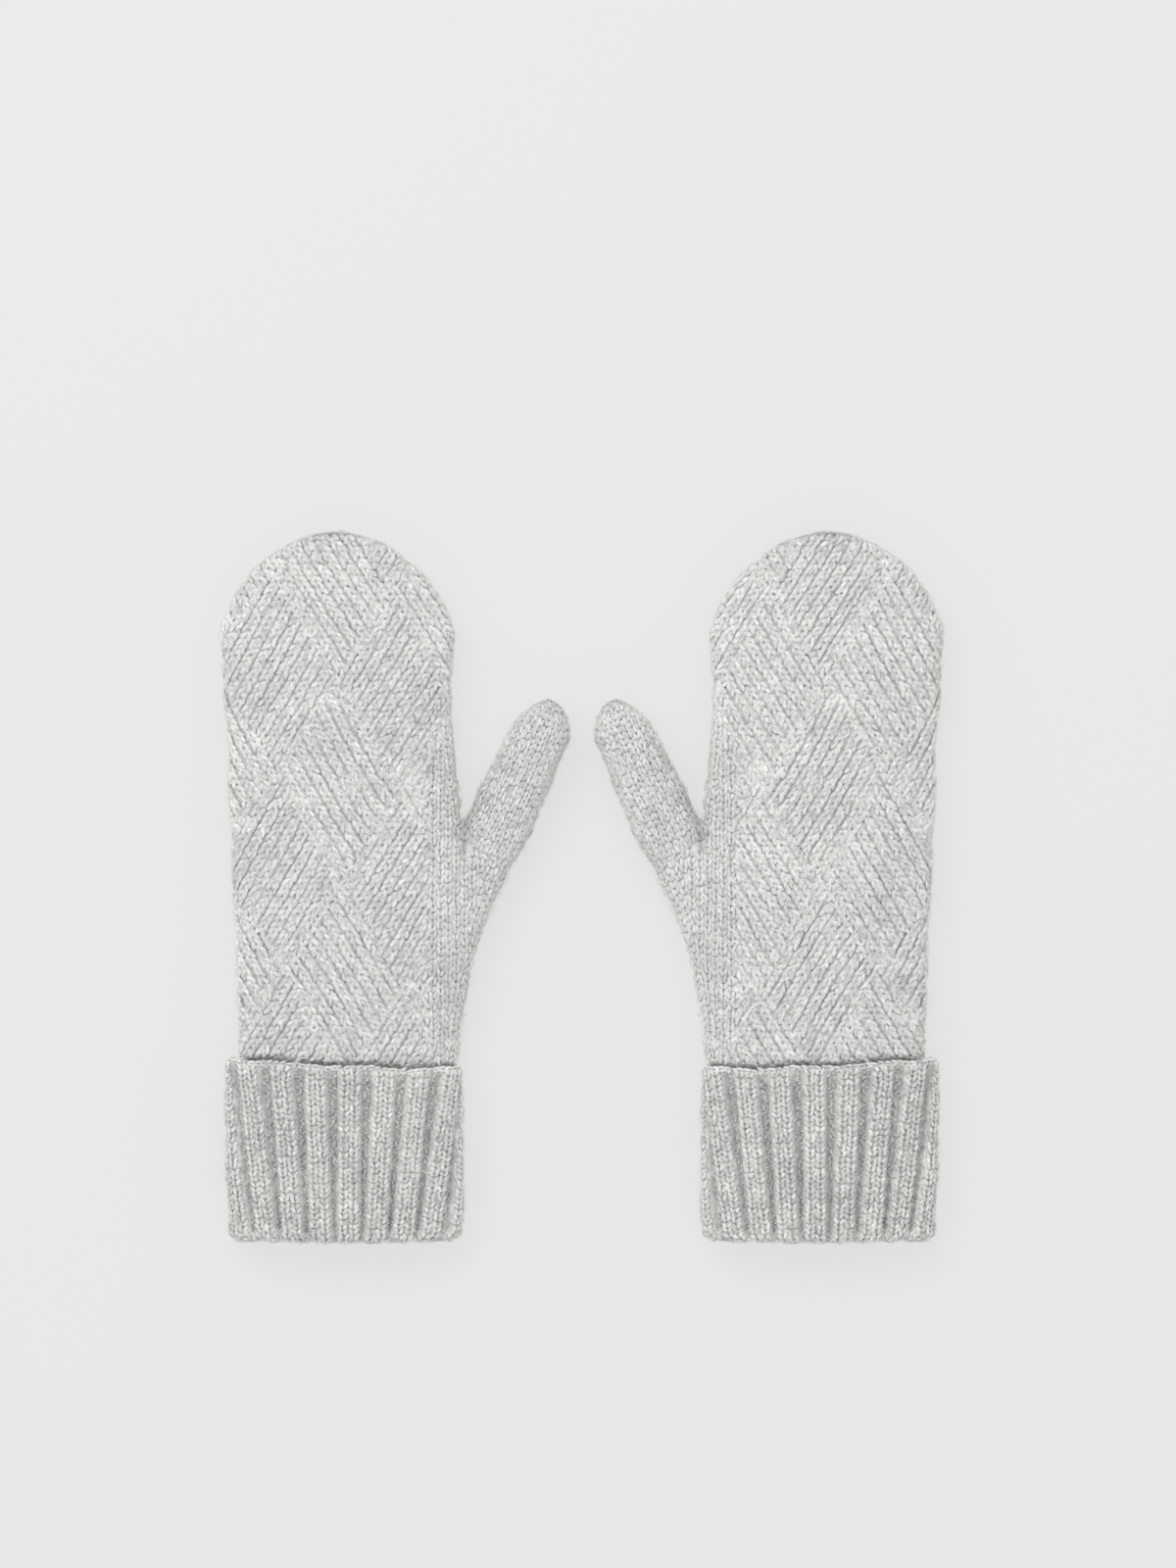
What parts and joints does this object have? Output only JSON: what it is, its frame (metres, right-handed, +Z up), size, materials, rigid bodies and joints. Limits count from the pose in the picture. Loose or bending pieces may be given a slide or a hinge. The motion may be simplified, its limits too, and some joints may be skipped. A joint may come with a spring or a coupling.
{
  "type": "knitted mittens",
  "caption": "Knitted mittens lying flat, with a slanted patchwork of stitches on the back, plain thumbs that swing in, and turned-up ribbed cuffs that slide down.",
  "frame": {"origin": "centre of the pair's box, on the surface the mittens lie on", "axes": "+X across the pair towards the right mitten, +Y towards the fingertips, +Z up from the surface to the backs of the hands"},
  "size_m": [0.2936, 0.2908, 0.026],
  "materials": {
    "patterned_knit": "soft heather grey wool, slanted stitch pattern",
    "plain_knit": "soft heather grey wool, plain stitches",
    "rib_knit": "heather grey wool, two by two rib",
    "inner_rib": "heather grey wool, rib on the inside",
    "seam_yarn": "heather grey yarn, chained or drawn together"
  },
  "bodies": {
    "left_hand": {"left_back_panel": "patterned_knit", "left_palm_panel": "plain_knit", "left_fingertip_back": "patterned_knit", "left_fingertip_palm": "plain_knit", "left_tip_graft": "plain_knit", "left_gusset_back": "plain_knit", "left_gusset_palm": "plain_knit", "left_cuff_band_back": "inner_rib", "left_cuff_band_palm": "inner_rib"},
    "left_thumb": {"left_thumb_back": "plain_knit", "left_thumb_palm": "plain_knit", "left_thumb_gather": "seam_yarn"},
    "left_cuff": {"left_cuff_fold_back": "rib_knit", "left_cuff_fold_palm": "rib_knit", "left_cuff_roll": "rib_knit", "left_cuff_edge": "seam_yarn"},
    "right_hand": {"right_back_panel": "patterned_knit", "right_palm_panel": "plain_knit", "right_fingertip_back": "patterned_knit", "right_fingertip_palm": "plain_knit", "right_tip_graft": "plain_knit", "right_gusset_back": "plain_knit", "right_gusset_palm": "plain_knit", "right_cuff_band_back": "inner_rib", "right_cuff_band_palm": "inner_rib"},
    "right_thumb": {"right_thumb_back": "plain_knit", "right_thumb_palm": "plain_knit", "right_thumb_gather": "seam_yarn"},
    "right_cuff": {"right_cuff_fold_back": "rib_knit", "right_cuff_fold_palm": "rib_knit", "right_cuff_roll": "rib_knit", "right_cuff_edge": "seam_yarn"}
  },
  "joints": [
    {"name": "right_mitten_slide", "type": "slide", "parent": "left_hand", "child": "right_hand", "axis": [1, 0, 0], "range_m": [0, 0.06]},
    {"name": "left_thumb_swing", "type": "hinge", "parent": "left_hand", "child": "left_thumb", "pos_m": [-0.0485, 0.035, 0.013], "axis": [0, 0, 1], "range_deg": [0, 24]},
    {"name": "right_thumb_swing", "type": "hinge", "parent": "right_hand", "child": "right_thumb", "pos_m": [0.0485, 0.035, 0.013], "axis": [0, 0, -1], "range_deg": [0, 24]},
    {"name": "left_cuff_slide", "type": "slide", "parent": "left_hand", "child": "left_cuff", "axis": [0, -1, 0], "range_m": [0, 0.06]},
    {"name": "right_cuff_slide", "type": "slide", "parent": "right_hand", "child": "right_cuff", "axis": [0, -1, 0], "range_m": [0, 0.06]}
  ]
}
